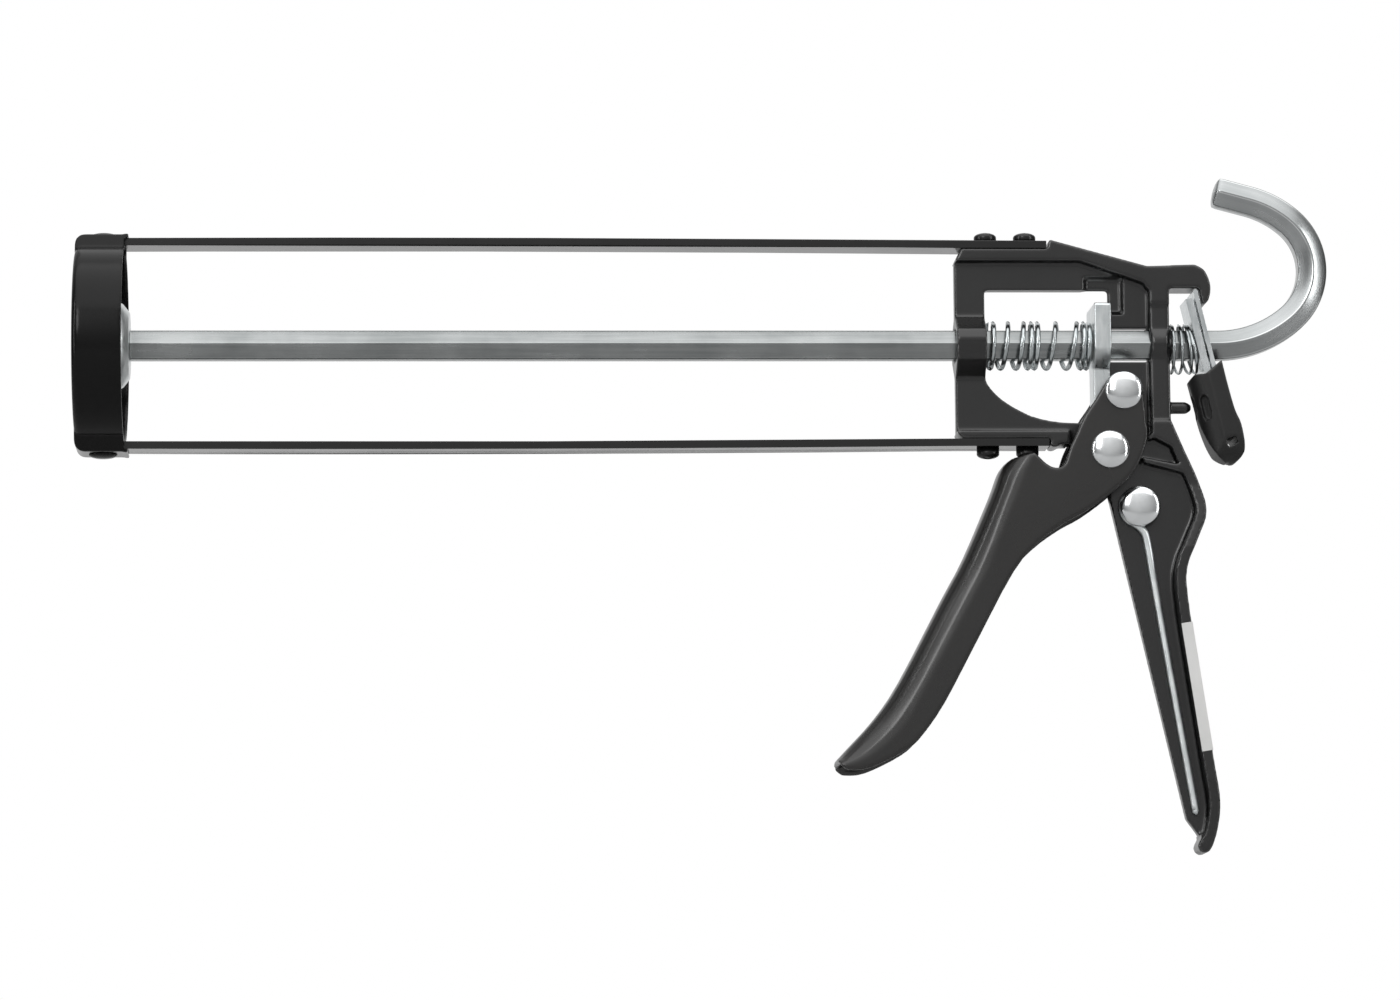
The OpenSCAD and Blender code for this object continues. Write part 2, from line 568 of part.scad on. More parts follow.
// Pressed channel, t thick and 2 * half wide. Its front, of corner radius r, curves from the front
// line back to the cheek line on both sides, and the cheeks end at the open edge
module channel(front, cheek, open, half, r, t, hub, neck, n = 5) {
  rows = [for (s = [-1, 1], k = [0:n]) let (a = 90 * k / n - (s < 0 ? 90 : 0))
    [s * (half - r), sin(a), cos(a)]];
  m = len(front);
  last = len(rows) - 1;
  inner = (last + 1) * m;
  edge = [for (c = [0:3]) 2 * inner + c * len(open)];
  end = len(open) - 1;
  points = concat(
    [for (side = [[front, r], [beside(front, t), r - t]], row = rows, i = [0:m - 1])
      let (p = cheek[i] + row[2] * (side[0][i] - cheek[i])) [p[0], row[0] + side[1] * row[1], p[1]]],
    [for (y = [-half, half, t - half, half - t], p = open) [p[0], y, p[1]]],
    [for (y = [-half, half, t - half, half - t]) [hub[0], y, hub[1]]]);
  hubs = len(points) - 4;
  outer_left = concat([for (i = [0:m - 1]) i], [for (k = [0:end]) edge[0] + k]);
  outer_right = concat([for (i = [0:m - 1]) last * m + i], [for (k = [0:end]) edge[1] + k]);
  inner_left = concat([for (i = [0:m - 1]) inner + i], [for (k = [0:end]) edge[2] + k]);
  inner_right = concat([for (i = [0:m - 1]) inner + last * m + i], [for (k = [0:end]) edge[3] + k]);
  rims = [for (pair = [[outer_left, inner_left], [inner_right, outer_right]], k = [m - 1:m + end])
    let (l = (k + 1) % (m + end + 1)) [pair[0][k], pair[0][l], pair[1][l], pair[1][k]]];
  fronts = [for (j = [0:last - 1], i = [0:m - 2]) let (a = j * m + i) [a, a + 1, a + 1 + m, a + m]];
  backs = [for (j = [0:last - 1], i = [0:m - 2]) let (a = inner + j * m + i)
    [a, a + m, a + 1 + m, a + 1]];
  tops = [for (j = [0:last - 1]) let (a = j * m) [a, a + m, inner + a + m, inner + a]];
  tips = [for (j = [0:last - 1]) let (a = j * m + m - 1) [a + m, a, inner + a, inner + a + m]];
  polyhedron(points, concat(turned_over(cheek_faces(outer_left, m, hubs, neck)),
    cheek_faces(outer_right, m, hubs + 1, neck), cheek_faces(inner_left, m, hubs + 2, neck),
    turned_over(cheek_faces(inner_right, m, hubs + 3, neck)), rims, fronts, backs, tops, tips));
}

module trigger() color("#242322") translate([cradle_l + pivot[0], 0, pivot[1]]) difference() {
  channel(trigger_front(), trigger_cheek(), trigger_open(), trigger_w / 2, trigger_corner,
    trigger_sheet, [-12, -10], [9, 24]);
  pin_y([0, 0], pivot_d / 2 + seat_gap / 2, -trigger_w, trigger_w);
  pin_y(drive_arm, drive_rivet_d / 2 + seat_gap / 2, -trigger_w, trigger_w);
}

// Rivet through both cheeks of the trigger, domed at both ends
module cheek_rivet(p, d) color("#b5b7b8") translate([cradle_l, 0, 0]) {
  pin_y(p, d / 2, -trigger_w / 2, trigger_w / 2);
  for (s = [-1, 1]) translate([p[0], s * trigger_w / 2, p[1]]) rotate([-90 * s, 0, 0])
    dome(rivet_head_d, rivet_head_h);
}
module pivot_rivet() cheek_rivet(pivot, pivot_d);
module drive_rivet() cheek_rivet(drive_pin, drive_rivet_d);

module drive_spacer() color("#9fa1a1") translate([cradle_l, 0, 0]) difference() {
  pin_y(drive_pin, spacer_d / 2, seat_gap - cheek_half, cheek_half - seat_gap);
  pin_y(drive_pin, drive_rivet_d / 2 + seat_gap / 2, -trigger_w, trigger_w);
}

// Everything on the release lever is drawn upright about the lever's top edge, and leans back
module leaning() translate([cradle_l + lever_top[0], 0, lever_top[1]]) rotate([0, -lean, 0])
  children();

module release_lever() color("#8c8e90") leaning() difference() {
  union() {
    translate([-lever_t, -lever_w / 2, lever_end]) cube([lever_t, lever_w, -lever_end]);
    pin_y([-lever_t / 2, 0], lever_t / 2, -lever_w / 2, lever_w / 2);
  }
  translate([0, 0, rod_in_lever]) tube_x(-lever_t - past, past, rod_r + lock_play);
}

module lock_plate() color("#9b9d9f") leaning() difference() {
  translate([lock_front, -lever_w / 2, lock_end]) cube([lock_t, lever_w, -1.3 - lock_end]);
  translate([0, 0, rod_in_lock]) tube_x(lock_front - past, 0, rod_r + lock_play);
}

// Sleeve over the lever: flat behind and at both sides, with a bulged front and a round end
module thumb_cap() color("#3c3c3c") difference() {
  intersection() {
    translate([cradle_l, 0, 0]) side(cap_w) polygon(concat(
      curve([[67, -4.5], [68.4, -10.6], [70.1, -17], [71.7, 9.7 - cap_drop],
        [72.6, 4.2 - cap_drop], [72.2, 2.2 - cap_drop], [70.8, 0.6 - cap_drop],
        [69, -cap_drop], [66.3, 1.6 - cap_drop], [64.7, 3.6 - cap_drop], [63.2, 6.4 - cap_drop],
        [61.7, -20.4], [60.7, -16.7], [59.8, -12.2], [59, -9.7]]),
      [[60.4, -7.9], [63, -7.9]]));
    front_view(cradle_l + 50, cradle_l + 80) polygon(concat([[-cap_w / 2, 0]],
      arc([0, cap_w / 2 - cap_drop], cap_w / 2, 180, 360, 18), [[cap_w / 2, 0]]));
    leaning() translate([0, 0, lever_end - 12]) linear_extrude(60) intersection() {
      translate([-12, -cap_w / 2]) square([15, cap_w]);
      translate([5.1, 0]) scale([1.42, 1]) circle(cap_w / 2 + 1.8);
    }
  }
  leaning() {
    translate([-lever_t - seat_gap, -lever_w / 2 - seat_gap, lever_end - seat_gap])
      cube([lever_t + 2 * seat_gap, lever_w + 2 * seat_gap, 60]);
    translate([lock_front - seat_gap, -lever_w / 2 - seat_gap, lock_end - seat_gap])
      cube([lock_t + lock_gap + 2 * seat_gap, lever_w + 2 * seat_gap, 60]);
  }
  for (z = [peg_z - 1.2, peg_z + 1.2]) translate([cradle_l, 0, z])
    tube_x(column_back, peg_back + 6, peg_d / 2 + pass_gap);
  translate([cradle_l + column_back, -peg_d / 2 - pass_gap, peg_z - 1.2])
    cube([peg_back + 6 - column_back, peg_d + 2 * pass_gap, 2.4]);
  for (s = [-1, 1]) leaning() translate([-0.2, 0, cap_dimple_z]) rotate([0, 0, s * 45])
    hull() for (z = [-1.9, 1.9]) translate([0, 0, z]) tube_x(-cap_w, 1 - cap_w / 2, 1.25);
  translate([cradle_l, 0, 0]) {
    side(2 * cap_w) polygon([[67.7, -24.7], [70.1, -24], [70.8, -25.5], [68.5, -26.7]]);
    side(2 * cap_w) polygon([[68, -cap_drop - past], [68.7, 1.2 - cap_drop], [69.5, -cap_drop - past]]);
  }
}

// Wire that swings forward out of the handle: a hook round its rivet, and a straight point
module puncture_wire() color("#bcbebf") translate([cradle_l, 0, 0]) {
  eye = arc(wire_pin, wire_eye_r, 70, 250, 12);
  point = wire_pin + wire_l * unit([12.9, -77.1]);
  wire([for (p = concat(eye, curve([[46.4, -47.2], [47.6, -49.9], [49.3, -60.5], point], 2)))
    [p[0], wire_y, p[1]]], wire_d);
}

module puncture_rivet() color("#b5b7b8") translate([cradle_l + wire_pin[0], 0, wire_pin[1]]) {
  pin_y([0, 0], wire_rivet_d / 2, wire_y - wire_d / 2 - 0.15, web_half + 0.6);
  translate([0, wire_y - wire_d / 2 - 0.15, 0]) rotate([90, 0, 0]) dome(wire_rivet_head_d, 2);
  translate([0, web_half, 0]) rotate([-90, 0, 0]) dome(wire_rivet_d + 2.4, 1);
}

// Blank label round the handle's rear flange
module handle_label() color("#dcdcd8") translate([cradle_l, 0, 0]) difference() {
  intersection() {
    palm_flange(label_t);
    translate([60, 0, -71 - label_h / 2]) rotate([0, -label_tilt, 0])
      translate([-20, -2 * palm_half, -label_h / 2]) cube([40, 4 * palm_half, label_h]);
  }
  palm_flange();
}

frame_casting();
front_ring();
top_strap();
bottom_strap();
ring_rivets();
top_strap_screws();
bottom_strap_screws();
push_rod();
piston_plate();
piston_washer();
drive_plate();
main_spring();
trigger();
pivot_rivet();
drive_rivet();
drive_spacer();
release_lever();
lock_plate();
release_spring();
thumb_cap();
puncture_wire();
puncture_rivet();
handle_label();
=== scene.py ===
import json
import math

import bmesh
import bpy
from mathutils import Matrix, Vector


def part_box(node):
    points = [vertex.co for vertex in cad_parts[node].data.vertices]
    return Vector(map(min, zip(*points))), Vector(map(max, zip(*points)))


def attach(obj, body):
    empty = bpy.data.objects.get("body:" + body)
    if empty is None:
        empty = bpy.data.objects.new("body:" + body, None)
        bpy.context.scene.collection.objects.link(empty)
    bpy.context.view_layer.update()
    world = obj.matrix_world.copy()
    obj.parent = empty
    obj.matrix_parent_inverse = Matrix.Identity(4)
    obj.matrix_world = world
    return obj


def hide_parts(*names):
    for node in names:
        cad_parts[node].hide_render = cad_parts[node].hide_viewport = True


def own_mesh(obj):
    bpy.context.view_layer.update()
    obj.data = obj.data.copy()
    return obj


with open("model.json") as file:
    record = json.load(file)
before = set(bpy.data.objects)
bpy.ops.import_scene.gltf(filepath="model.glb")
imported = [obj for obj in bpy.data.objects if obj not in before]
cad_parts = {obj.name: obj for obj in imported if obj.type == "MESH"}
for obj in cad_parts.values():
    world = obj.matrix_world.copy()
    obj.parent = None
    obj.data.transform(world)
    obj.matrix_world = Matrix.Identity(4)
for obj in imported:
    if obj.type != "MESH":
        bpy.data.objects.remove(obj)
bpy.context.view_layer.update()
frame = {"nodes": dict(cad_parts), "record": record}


# Table and light: the gun is seen square to its side, a little from below and from the ring's
# end. A wide soft box hangs above it, one stands beside the camera and a narrow strip at each
# end, before a pale backdrop. The room is bright above, and dark to both sides.

camera = bpy.data.objects.new("camera", bpy.data.cameras.new("camera"))
bpy.context.collection.objects.link(camera)
bpy.context.scene.camera = camera
bpy.context.scene.view_settings.view_transform = "Standard"
eye = Vector((0.0756, -1.48, -0.2288))
aim = Vector((0.15659, 0, -0.03919))
roll = -0.00835
forward = (aim - eye).normalized()
level = forward.cross(Vector((0, 0, 1))).normalized()
upright = level.cross(forward)
right = math.cos(roll) * level + math.sin(roll) * upright
up = -math.sin(roll) * level + math.cos(roll) * upright
camera.matrix_world = Matrix((right, up, -forward)).transposed().to_4x4()
camera.location = eye
camera.data.sensor_width = 36
camera.data.lens = 152.74
camera.data.clip_start = 0.05
camera.data.clip_end = 20


class Value:
    """The output of a node. Arithmetic on it adds Math nodes."""

    def __init__(self, shop, socket):
        self.shop = shop
        self.socket = socket

    def math(self, operation, *others):
        values = dict(enumerate((self, *others)))
        return self.shop.node("ShaderNodeMath", {"operation": operation}, values)

    def __add__(self, other):
        return self.math("ADD", other)

    __radd__ = __add__

    def __mul__(self, other):
        return self.math("MULTIPLY", other)

    __rmul__ = __mul__

    def __sub__(self, other):
        return self.math("SUBTRACT", other)

    def __rsub__(self, other):
        return self.shop.node("ShaderNodeMath", {"operation": "SUBTRACT"}, {0: other, 1: self})

    def __truediv__(self, other):
        return self.math("DIVIDE", other)

    def __pow__(self, other):
        return self.math("POWER", other)


class Shop:
    """A node tree, for light, a material or a shape, and the methods that add its nodes"""

    def __init__(self, tree):
        self.tree = tree

    def node(self, kind, settings=None, values=None, out=0):
        made = self.tree.nodes.new(kind)
        for name, setting in (settings or {}).items():
            setattr(made, name, setting)
        for name, value in (values or {}).items():
            if isinstance(value, Value):
                self.tree.links.new(value.socket, made.inputs[name])
            else:
                made.inputs[name].default_value = value
        return Value(self, made.outputs[out]) if made.outputs else None

    def part(self, vector, axis):
        return self.node("ShaderNodeSeparateXYZ", values={0: vector}, out=axis)

    def joined(self, x=0.0, y=0.0, z=0.0):
        return self.node("ShaderNodeCombineXYZ", values={0: x, 1: y, 2: z})

    def step(self, value, low, high, start=0.0, end=1.0):
        """Start where the value is low, end where it is high, and in proportion between them"""
        values = {"Value": value, "From Min": low, "From Max": high, "To Min": start, "To Max": end}
        return self.node("ShaderNodeMapRange", {"clamp": True}, values)

    def seen(self, shine):
        """1 for what the camera sees, itself or through glass, and shine for what gloss sees"""
        direct = self.node("ShaderNodeLightPath", out="Is Camera Ray")
        through = self.node("ShaderNodeLightPath", out="Is Transmission Ray")
        mirrored = self.node("ShaderNodeLightPath", out="Is Glossy Ray")
        return (direct + through + shine * mirrored).math("MINIMUM", 1)


def stage_sheet(name, grey, shine, lit, corners):
    """Pale to the camera, lit by itself or by the lamps, and grey to the light that it sends
    back. Gloss sees shine of it, and of a lit one only its middle. It is clear from behind."""
    paint = bpy.data.materials.new(name)
    paint.use_nodes = True
    shop = Shop(paint.node_tree)
    shop.tree.nodes.clear()
    dull = shop.node("ShaderNodeBsdfDiffuse", values={"Color": (grey, grey, grey, 1)})
    pale = shop.node("ShaderNodeBsdfDiffuse", values={"Color": (0.85, 0.85, 0.85, 1)})
    if lit:
        pale = shop.node("ShaderNodeEmission", values={"Color": (1, 1, 1, 1), "Strength": 1.0})
        middle, bright_to, dark_from = 0.2, 0.35, 0.5
        across = shop.part(shop.node("ShaderNodeTexCoord", out="Object"), "X")
        aside = (across - middle).math("ABSOLUTE")
        shine = shine * shop.step(aside, dark_from, bright_to)
    mixed = shop.node("ShaderNodeMixShader", values={0: shop.seen(shine), 1: dull, 2: pale})
    behind = shop.node("ShaderNodeNewGeometry", out="Backfacing")
    clear = shop.node("ShaderNodeBsdfTransparent")
    one_way = shop.node("ShaderNodeMixShader", values={0: behind, 1: mixed, 2: clear})
    shop.node("ShaderNodeOutputMaterial", values={"Surface": one_way})
    mesh = bpy.data.meshes.new(name)
    mesh.from_pydata(corners, [], [(0, 1, 2, 3)])
    mesh.materials.append(paint)
    sheet = bpy.data.objects.new(name, mesh)
    bpy.context.collection.objects.link(sheet)


left_x, right_x = -1.6, 2
front_y, back_y = -2, 0.9
floor_z, top_z = -0.27, 1.6
stage_sheet("floor", grey=0.32, shine=0.26, lit=False, corners=[
    (left_x, front_y, floor_z), (right_x, front_y, floor_z),
    (right_x, back_y, floor_z), (left_x, back_y, floor_z)])
stage_sheet("backdrop", grey=0.5, shine=0.75, lit=True, corners=[
    (left_x, back_y, floor_z), (right_x, back_y, floor_z),
    (right_x, back_y, top_z), (left_x, back_y, top_z)])

world = bpy.data.worlds.new("studio")
bpy.context.scene.world = world
world.use_nodes = True
room = Shop(world.node_tree)
room.tree.nodes.clear()
way = room.node("ShaderNodeTexCoord", out="Generated")
sideways = room.part(way, "X")
dome = room.step(room.part(way, "Z"), -0.4, 0.6, start=0.26, end=0.85)
dome = dome * (1 - 0.96 * (sideways * sideways) ** 0.7)
soft = room.node("ShaderNodeBackground", values={"Color": (1, 1, 1, 1), "Strength": dome})
white = room.node("ShaderNodeBackground", values={"Color": (1, 1, 1, 1), "Strength": 1.0})
both = room.node("ShaderNodeMixShader", values={0: room.seen(0), 1: soft, 2: white})
room.node("ShaderNodeOutputWorld", values={"Surface": both})


def soft_box(name, place, size, power):
    lamp = bpy.data.lights.new(name, "AREA")
    lamp.shape = "RECTANGLE"
    lamp.size, lamp.size_y = size
    lamp.energy = power
    box = bpy.data.objects.new(name, lamp)
    box.location = place
    gun_middle = Vector((0.16, 0, -0.03))
    box.rotation_euler = (gun_middle - Vector(place)).to_track_quat("-Z", "Y").to_euler()
    bpy.context.collection.objects.link(box)


soft_box("above", place=(0.15, -0.5, 1.2), size=(2.4, 1.6), power=10)
soft_box("front_left", place=(-0.5, -1.5, 0.6), size=(0.5, 0.7), power=5)
soft_box("left", place=(-1.35, -0.6, 0.35), size=(0.16, 1.2), power=5)
soft_box("right", place=(1.5, -0.75, 0.3), size=(0.18, 1.2), power=5)


# Frame: one die casting in aluminium, painted satin black. Flanges stand round a thin web. The
# molten metal leaves a fillet in every corner, and the edges are painted paler and glossier, a
# painted highlight along them.

class Finish(Shop):
    """A material: one Principled shader, and the patterns that feed it"""

    def __init__(self, name, **fixed):
        self.material = bpy.data.materials.new(name)
        self.material.use_nodes = True
        super().__init__(self.material.node_tree)
        self.tree.nodes.clear()
        self.shader = self.tree.nodes.new("ShaderNodeBsdfPrincipled")
        output = self.tree.nodes.new("ShaderNodeOutputMaterial")
        self.tree.links.new(self.shader.outputs[0], output.inputs[0])
        self.place = self.node("ShaderNodeTexCoord", out="Object")
        for socket, value in fixed.items():
            self.feed(socket.replace("_", " "), value)

    def feed(self, socket, value):
        if isinstance(value, Value):
            self.tree.links.new(value.socket, self.shader.inputs[socket])
        else:
            self.shader.inputs[socket].default_value = value

    def stretched(self, x, y, z):
        return self.node("ShaderNodeMapping", values={"Vector": self.place, "Scale": (x, y, z)})

    def along(self, length, round_it):
        """Place on a drawn bar, by the distance along it and the share of the way round it"""
        return self.joined(self.mark("run") * length, self.mark("round") * round_it)

    def noise(self, scale, detail=3, place=None):
        values = {"Vector": place or self.place, "Scale": scale, "Detail": detail,
                  "Roughness": 0.55}
        return self.node("ShaderNodeTexNoise", values=values)

    def specks(self, scale, size):
        """1 in small round specks, 0 between them"""
        near = self.node("ShaderNodeTexVoronoi", values={"Vector": self.place, "Scale": scale})
        return self.step(near, size, size * 0.5)

    def mark(self, name):
        """A number kept on the mesh, such as how sharp an edge is"""
        return self.node("ShaderNodeAttribute", {"attribute_name": name}, out="Fac")

    def blend(self, share, one, other):
        values = {0: share, 6: one if isinstance(one, Value) else (*one, 1),
                  7: other if isinstance(other, Value) else (*other, 1)}
        return self.node("ShaderNodeMix", {"data_type": "RGBA"}, values, out=2)

    def bumps(self, height, depth, strength):
        """Depth is in metres"""
        values = {"Height": height, "Distance": depth, "Strength": strength}
        self.feed("Normal", self.node("ShaderNodeBump", values=values))


def black_paint(name, shade, rough, grain, tint=(1, 1, 1), gloss=0.5, edges=0.02, dust=0.03,
                depth=0.00003):
    """Uneven gloss and a fine grain, a little dust, and a painted highlight on the marked edges.
    Shade, edges (the grey of that painted highlight) and dust are how pale each is, and grain is
    how fine the paint's flow is."""
    paint = Finish(name, Metallic=0.0, Specular_IOR_Level=gloss)
    cloud = paint.noise(40, 4)
    fine = paint.noise(2600, 2)
    flow = paint.noise(grain)
    dark, light = ([shade * part * c for c in tint] for part in (0.8, 1.3))
    base = paint.blend(paint.step(cloud, 0.3, 0.75), dark, light)
    # Painted highlight: points marked as sharp edges, broken up by the cloud, are painted paler and
    # made glossier, as if they caught the light.
    edge = paint.step(paint.mark("edge") + 0.5 * (cloud - 0.5), 0.6, 1.0)
    base = paint.blend(edge, base, (edges, edges, edges))
    dusty = paint.specks(330, 0.07) * paint.step(cloud, 0.45, 0.7)
    paint.feed("Base Color", paint.blend(dusty, base, (dust, dust, dust)))
    paint.feed("Roughness", rough + 0.14 * (cloud - 0.5) - 0.08 * edge)
    paint.bumps(flow + 0.2 * fine, depth, 0.5)
    return paint


def plain_mesh(piece):
    """The piece's mesh with its modifiers applied"""
    seen = piece.evaluated_get(bpy.context.evaluated_depsgraph_get())
    mesh = bpy.data.meshes.new_from_object(seen)
    piece.modifiers.clear()
    piece.data = mesh
    return mesh


def cad_copy(node):
    """A copy of a CAD node's mesh as one welded surface, with its flat faces whole"""
    name = node + "_piece"
    weld_within, flat_within = 0.000002, math.radians(0.6)
    mesh = frame["nodes"][node].data.copy()
    mesh.name = name
    welded = bmesh.new()
    welded.from_mesh(mesh)
    bmesh.ops.remove_doubles(welded, verts=welded.verts, dist=weld_within)
    bmesh.ops.dissolve_limit(welded, angle_limit=flat_within, verts=welded.verts,
                             edges=welded.edges)
    welded.to_mesh(mesh)
    welded.free()
    piece = bpy.data.objects.new(name, mesh)
    bpy.context.collection.objects.link(piece)
    return piece


def edge_marks(mesh, reach):
    """Keeps on each point how far it and the points round it stand out, from 0 where the mesh
    is flat or hollow to 1 at a sharp edge, where a point stands out by reach"""
    shape = bmesh.new()
    shape.from_mesh(mesh)
    shape.normal_update()
    around = [[edge.other_vert(point) for edge in point.link_edges] for point in shape.verts]
    out = []
    for point, others in zip(shape.verts, around):
        middle = sum((other.co for other in others), Vector()) / max(len(others), 1)
        out.append((point.co - middle).dot(point.normal) / reach)
    out = [(own + max([out[other.index] for other in others] or [0])) / 2
           for own, others in zip(out, around)]
    marks = mesh.attributes.new("edge", "FLOAT", "POINT")
    marks.data.foreach_set("value", [min(max(value, 0), 1) for value in out])
    shape.free()


def finished(piece, finish, node):
    """Gives a piece its material and the body it moves with, and hides its CAD node"""
    piece.data.materials.clear()
    piece.data.materials.append(finish.material)
    for face in piece.data.polygons:
        face.use_smooth = True
        face.material_index = 0
    bodies = frame["record"]["behaviour"]["bodies"]
    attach(piece, next(body for body, nodes in bodies.items() if node in nodes))
    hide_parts(node)
    return piece


def cast(node, finish, grid, passes, reach):
    """A CAD node with every edge and corner rounded, as a casting or a thick paint leaves them"""
    piece = cad_copy(node)
    even = piece.modifiers.new("even", "REMESH")
    even.mode = "VOXEL"
    even.voxel_size = grid
    soft = piece.modifiers.new("soft", "SMOOTH")
    soft.factor = 0.5
    soft.iterations = passes
    edge_marks(plain_mesh(piece), reach)
    return finished(piece, finish, node)


# edges is how pale the painted highlight along the frame's edges is.
cast_paint = black_paint("cast_black_paint", shade=0.006, rough=0.26, grain=900, gloss=0.8,
                         edges=0.05)
cast("frame_casting", cast_paint, grid=0.0004, passes=5, reach=0.00006)


# Ring: deep-drawn steel cup without a bottom, painted gloss black, with a pad pressed out at
# the top and bottom over the straps' ends. Each pad is riveted through its strap.

# edges is how pale the painted highlight along the ring's edges is.
ring_paint = black_paint("ring_black_paint", shade=0.0025, rough=0.2, grain=420, gloss=0.24,
                         edges=0.04, dust=0.006, depth=0.00002)
cast("front_ring", ring_paint, grid=0.00034, passes=6, reach=0.00006)


class Shape(Shop):
    """A Geometry Nodes tree with named inputs. It gives a plain mesh from the points it gets."""

    def __init__(self, name, **inputs):
        super().__init__(bpy.data.node_groups.new(name, "GeometryNodeTree"))
        self.inputs = {}
        self.add_socket("Geometry", "Geometry", "OUTPUT")
        self.add_socket("Points", "Geometry")
        for label, value in inputs.items():
            kind = "Int" if isinstance(value, int) else "Float"
            self.add_socket(label, kind).default_value = value
        self.given = self.tree.nodes.new("NodeGroupInput")
        self.add_socket("finish", "Material")

    def add_socket(self, label, kind, in_out="INPUT"):
        socket = self.tree.interface.new_socket(label, in_out=in_out,
                                                socket_type="NodeSocket" + kind)
        self.inputs[label] = socket.identifier
        return socket

    def take(self, label):
        return Value(self, self.given.outputs[label])

    def done(self, geometry):
        whole = self.node("GeometryNodeRealizeInstances", values={0: geometry})
        smooth = self.node("GeometryNodeSetShadeSmooth", values={0: whole})
        painted = self.node("GeometryNodeSetMaterial",
                            values={0: smooth, "Material": self.take("finish")})
        self.node("NodeGroupOutput", values={0: painted})

    def made(self, name, points, edges, finish, slot, node, facing=(), size=(), **inputs):
        mesh = bpy.data.meshes.new(name)
        mesh.from_pydata(points, edges, [])
        for label, ways in (("facing", facing), ("size", size)):
            if ways:
                marks = mesh.attributes.new(label, "FLOAT_VECTOR", "POINT")
                marks.data.foreach_set("vector", [number for way in ways for number in way])
        piece = bpy.data.objects.new(name, mesh)
        bpy.context.collection.objects.link(piece)
        shaped = piece.modifiers.new("shape", "NODES")
        shaped.node_group = self.tree
        for label, value in (*inputs.items(), ("finish", finish.material)):
            shaped[self.inputs[label]] = value
        plain_mesh(piece)
        return finished(piece, finish, node)


def turned_head(shape):
    """Head of a rivet or screw, spun about Z: dome, rim, seat, and a stub that tapers into the
    hole. It starts as a sheet, with a row of points for each ring."""
    labels = ("radius", "height", "rim", "shank", "depth", "sides", "rows")
    radius, height, rim, shank, depth, sides, rows = (shape.take(label) for label in labels)
    below_dome = 3
    sheet = shape.node("GeometryNodeMeshGrid", values={
        "Size X": 1, "Size Y": 1, "Vertices X": sides + 1, "Vertices Y": rows + (below_dome + 1)})
    spot = shape.node("GeometryNodeInputPosition")
    angle = (shape.part(spot, "X") + 0.5) * math.tau
    row = ((shape.part(spot, "Y") + 0.5) * (rows + below_dome)).math("ROUND")
    arch = (row / rows).math("MINIMUM", 1) * (math.pi / 2)
    below = (row - rows).math("MAXIMUM", 0)
    in_rim = below.math("MINIMUM", 1)
    in_neck = (below - 1).math("MAXIMUM", 0).math("MINIMUM", 1)
    in_end = (below - 2).math("MAXIMUM", 0)
    neck_share = 0.001
    reach = radius * arch.math("SINE") * (1 - in_neck) + shank * (in_neck - in_end)
    lift = rim + (height - rim) * arch.math("COSINE") - rim * in_rim
    lift = lift - depth * (in_neck * neck_share + in_end * (1 - neck_share))
    place = shape.joined(reach * angle.math("COSINE"), reach * angle.math("SINE"), lift)
    spun = shape.node("GeometryNodeSetPosition", values={0: sheet, "Position": place})
    return shape.node("GeometryNodeMergeByDistance", values={0: spun, "Distance": 0.000001})


def stood(shape, solid):
    """The solid on every point, turned the way that the point faces and scaled by its size"""
    way, size = (shape.node("GeometryNodeInputNamedAttribute", {"data_type": "FLOAT_VECTOR"},
                            {"Name": name}) for name in ("facing", "size"))
    turned = shape.node("FunctionNodeAlignRotationToVector", {"axis": "Z"}, {"Vector": way})
    shape.done(shape.node("GeometryNodeInstanceOnPoints", values={
        0: shape.take("Points"), "Instance": solid, "Rotation": turned, "Scale": size}))


rivet = Shape("rivet", radius=0.004, height=0.001, rim=0.0002, shank=0.002, depth=0.002,
              sides=48, rows=12)
stood(rivet, turned_head(rivet))

head_r, head_h = 0.00355, 0.0011
tail_z, tail_size = 0.0248, (0.79, 0.79, 0.55)
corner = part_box("ring_rivets")[1]
rivet_x, pad_z = corner.x - head_r, corner.z - head_h
rivet.made("ring_rivet_heads",
           [(rivet_x, 0, z) for z in (pad_z, -pad_z, tail_z, -tail_z)], [],
           ring_paint, "ring_black", "ring_rivets",
           facing=[(0, 0, 1), (0, 0, -1), (0, 0, -1), (0, 0, 1)],
           size=[(1, 1, 1)] * 2 + [tail_size] * 2,
           radius=head_r, height=head_h, rim=0.00015, shank=0.002, depth=0.0026)


# Straps: flat steel bars, painted satin black, with the paint thin and streaked along them. Two
# pan-head screws with a cross slot hold each one in its seat on the frame.

def dressed(node, finish, width, segments=2, angle=28):
    """A CAD node with its edges rounded, and its flat faces kept flat in the shading"""
    piece = finished(cad_copy(node), finish, node)
    bevel = piece.modifiers.new("round", "BEVEL")
    bevel.width = width
    bevel.segments = segments
    bevel.limit_method = "ANGLE"
    bevel.angle_limit = math.radians(angle)
    bevel.harden_normals = True
    bevel.miter_outer = "MITER_ARC"
    weights = piece.modifiers.new("flats", "WEIGHTED_NORMAL")
    weights.keep_sharp = True
    return piece


strap_paint = black_paint("strap_black_paint", shade=0.008, rough=0.17, grain=300, gloss=0.55,
                          dust=0.02, depth=0.00001)
for strap in ("top_strap", "bottom_strap"):
    dressed(strap, strap_paint, width=0.00035, segments=3)

